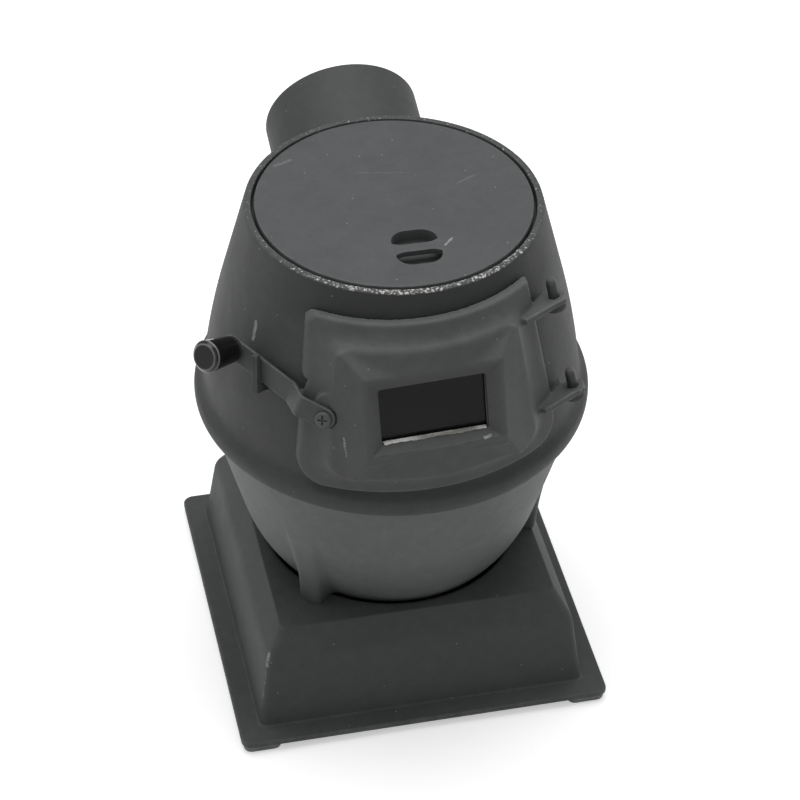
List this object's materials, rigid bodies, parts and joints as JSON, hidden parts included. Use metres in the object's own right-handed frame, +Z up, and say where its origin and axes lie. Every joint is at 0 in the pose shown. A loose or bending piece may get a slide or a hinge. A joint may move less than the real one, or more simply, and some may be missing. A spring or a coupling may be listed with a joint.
{
  "type": "potbelly stove",
  "caption": "Small cast-iron potbelly stove with a glazed fuel door, a lift-off lid, a tilted rear flue collar, a latch with a round knob and an ash drawer.",
  "frame": {"origin": "on the floor, on the stove's upright axis, at the middle of the square base", "axes": "+Z up, fuel door facing -Y, flue collar towards +Y, ash drawer towards +X"},
  "size_m": [0.3213, 0.3736, 0.4182],
  "materials": {
    "stove_paint": "matt dark grey stove paint on sand-cast iron",
    "stove_paint_dark": "matt dark grey stove paint on sand-cast iron",
    "bare_iron": "bare sand-cast iron, sooty",
    "latch_steel": "flat steel strip, thin grey paint worn at the edges",
    "steel": "dull dark steel",
    "pan_steel": "black folded sheet steel",
    "knob_black": "black moulded thermoset, polished",
    "rope_seal": "woven glass-fibre stove rope and tape",
    "window_glass": "smoky heat-proof glass"
  },
  "bodies": {
    "stove": {"base": "stove_paint_dark", "fire_pot": "stove_paint", "grate": "bare_iron", "pot_seal": "rope_seal", "barrel": "stove_paint", "flue_collar": "stove_paint", "collar_gasket": "rope_seal", "flue_bolts": "steel", "hinge_pin_upper": "steel", "hinge_pin_lower": "steel"},
    "lid": {"lid": "stove_paint"},
    "door": {"door": "stove_paint", "window_glass": "window_glass", "window_gasket": "rope_seal", "glass_retainer": "steel", "glass_screws": "steel", "latch_screw": "steel", "latch_washer": "steel"},
    "latch": {"latch_bar": "latch_steel", "latch_knob": "knob_black", "knob_screw": "steel"},
    "drawer": {"ash_pan": "pan_steel", "drawer_front": "stove_paint_dark", "drawer_rivets": "steel"}
  },
  "joints": [
    {"name": "lid_lift", "type": "slide", "parent": "stove", "child": "lid", "axis": [0, 0, 1], "range_m": [0, 0.12]},
    {"name": "door_hinge", "type": "hinge", "parent": "stove", "child": "door", "pos_m": [0.11605, -0.10634, 0.304], "axis": [-0.1871, 0.1714, 0.9673], "range_deg": [0, 110]},
    {"name": "latch_pivot", "type": "hinge", "parent": "door", "child": "latch", "pos_m": [-0.08036, -0.13165, 0.325], "axis": [0.4418, 0.8559, -0.2689], "range_deg": [0, 14]},
    {"name": "ash_drawer_slide", "type": "slide", "parent": "stove", "child": "drawer", "axis": [1, 0, 0], "range_m": [0, 0.18]}
  ]
}
